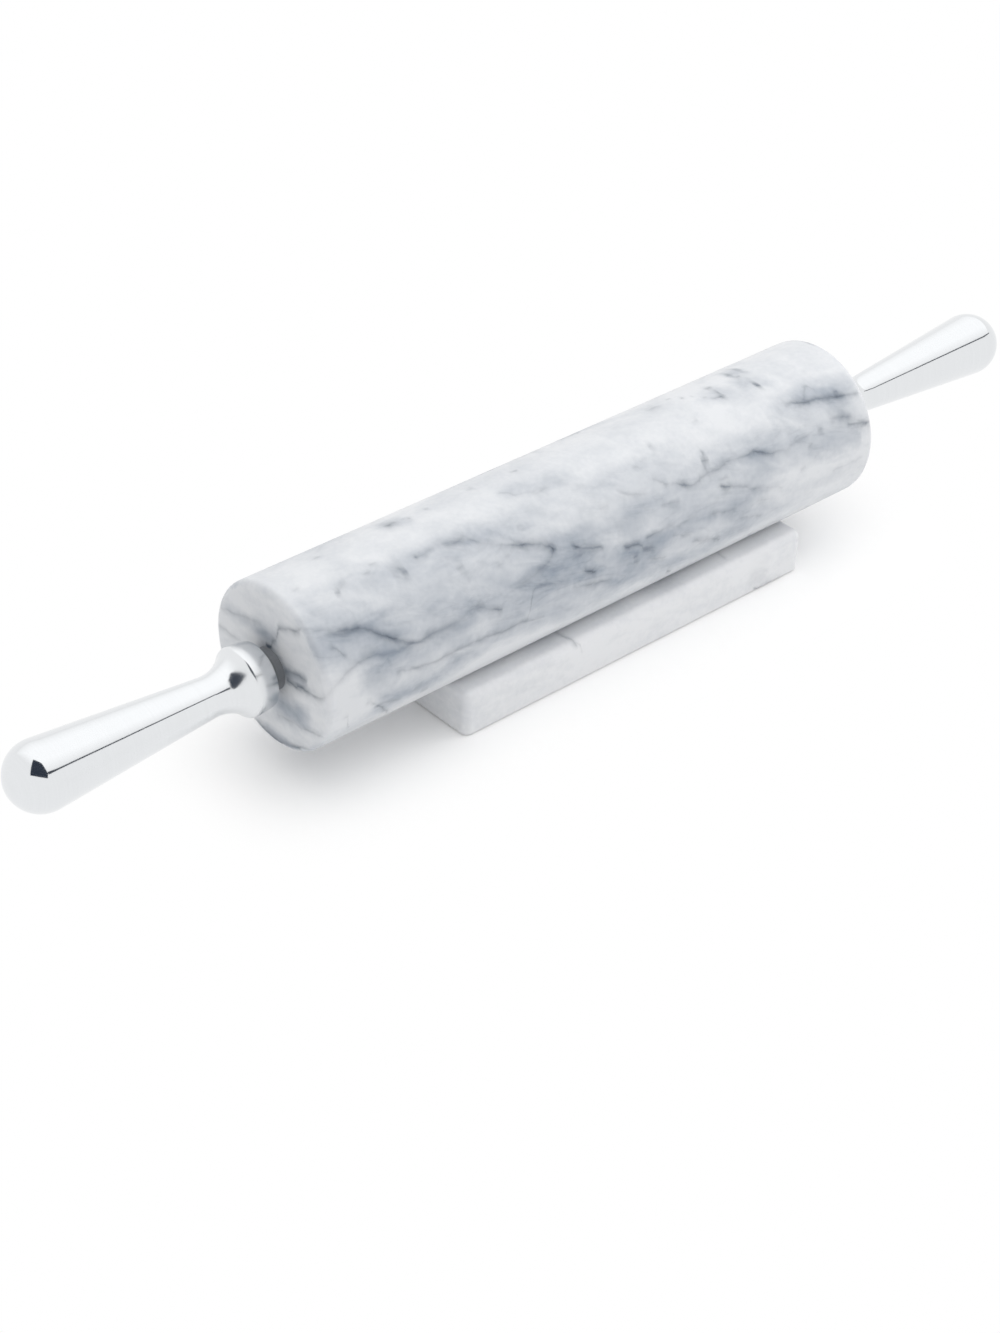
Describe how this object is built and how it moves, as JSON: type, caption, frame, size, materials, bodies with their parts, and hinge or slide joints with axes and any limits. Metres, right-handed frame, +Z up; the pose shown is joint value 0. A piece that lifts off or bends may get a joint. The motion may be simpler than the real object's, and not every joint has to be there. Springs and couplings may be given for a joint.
{
  "type": "rolling pin",
  "caption": "Marble rolling pin whose barrel turns on a steel rod between polished aluminium handles, resting in the groove of a marble cradle.",
  "frame": {"origin": "under the middle of the barrel, on the plane of the pads under the cradle, which is the plane the object stands on", "axes": "+X along the pin towards the right handle, +Z up; the picture is taken from the -X, -Y side"},
  "size_m": [0.456, 0.06, 0.0728],
  "materials": {
    "barrel_marble": "honed white marble with grey veins",
    "cradle_marble": "honed white marble, almost plain",
    "handle_aluminium": "mirror polished",
    "steel": "drawn bar",
    "nylon": "moulded, matt",
    "pad": "matt"
  },
  "bodies": {
    "cradle": {"cradle_base": "cradle_marble", "cradle_pads": "pad"},
    "spindle": {"axle_rod": "steel", "left_handle": "handle_aluminium", "right_handle": "handle_aluminium", "left_washer": "steel", "right_washer": "steel"},
    "roller": {"marble_barrel": "barrel_marble", "left_bush": "nylon", "right_bush": "nylon"}
  },
  "joints": [
    {"name": "lift_off", "type": "slide", "parent": "cradle", "child": "spindle", "axis": [0, 0, 1], "range_m": [0, 0.12]},
    {"name": "barrel_spin", "type": "hinge", "parent": "spindle", "child": "roller", "pos_m": [0, 0, 0.0428], "axis": [1, 0, 0], "continuous": true}
  ]
}
